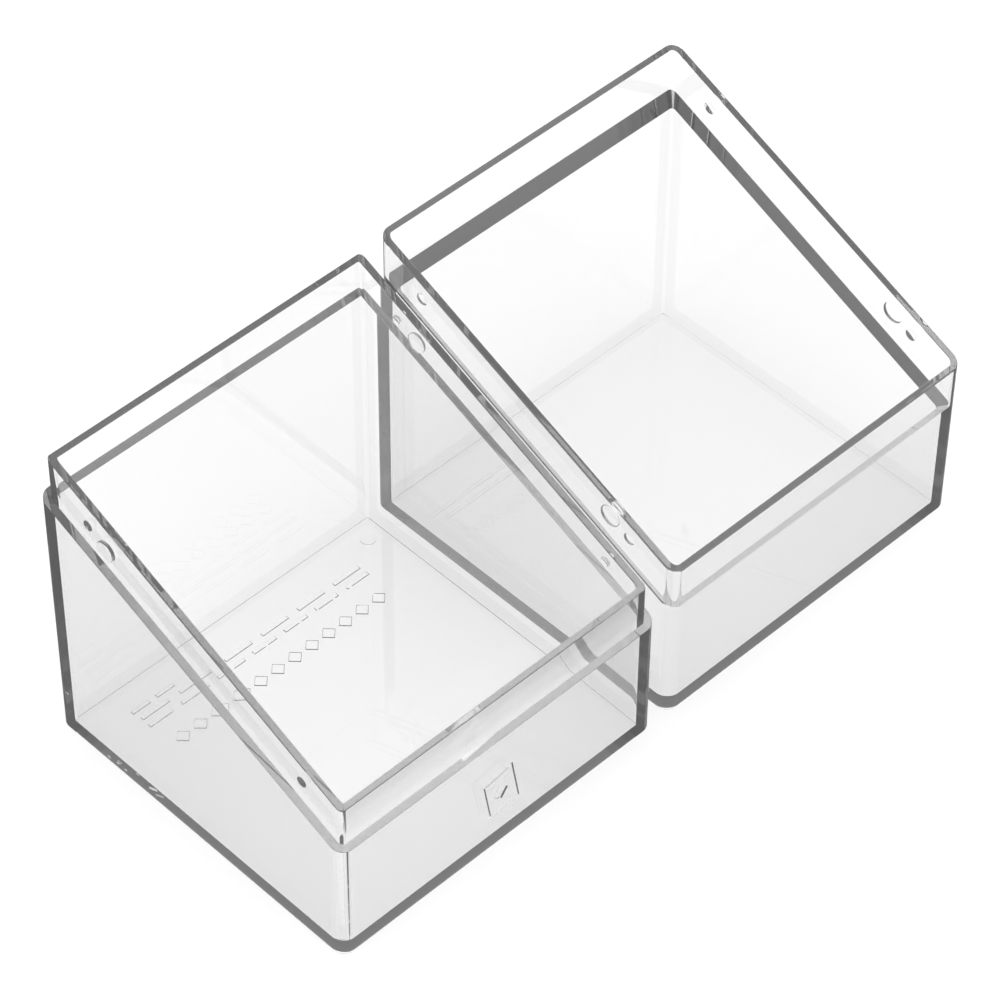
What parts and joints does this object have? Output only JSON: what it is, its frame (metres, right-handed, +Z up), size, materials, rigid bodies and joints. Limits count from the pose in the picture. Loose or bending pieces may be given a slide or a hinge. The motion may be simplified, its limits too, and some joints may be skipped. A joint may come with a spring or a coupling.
{
  "type": "card deck box",
  "caption": "Clear deck box for trading cards with a sloped parting line: base with snap collar and push-on lid, standing open side by side.",
  "frame": {"origin": "on the ground, in the middle of the bounding box of the two shells standing side by side", "axes": "+Z up; the front, with the short walls, faces -Y; the lid stands at +X of the base"},
  "size_m": [0.1616, 0.078, 0.0708],
  "materials": {
    "base_clear_plastic": "clear colourless gloss moulded plastic",
    "lid_clear_plastic": "clear colourless gloss moulded plastic"
  },
  "bodies": {
    "base": {"base_shell": "base_clear_plastic"},
    "lid": {"lid_shell": "lid_clear_plastic"}
  },
  "joints": [
    {"name": "lid_lift", "type": "slide", "parent": "base", "child": "lid", "axis": [0, 0, 1], "range_m": [0, 0.085]}
  ]
}
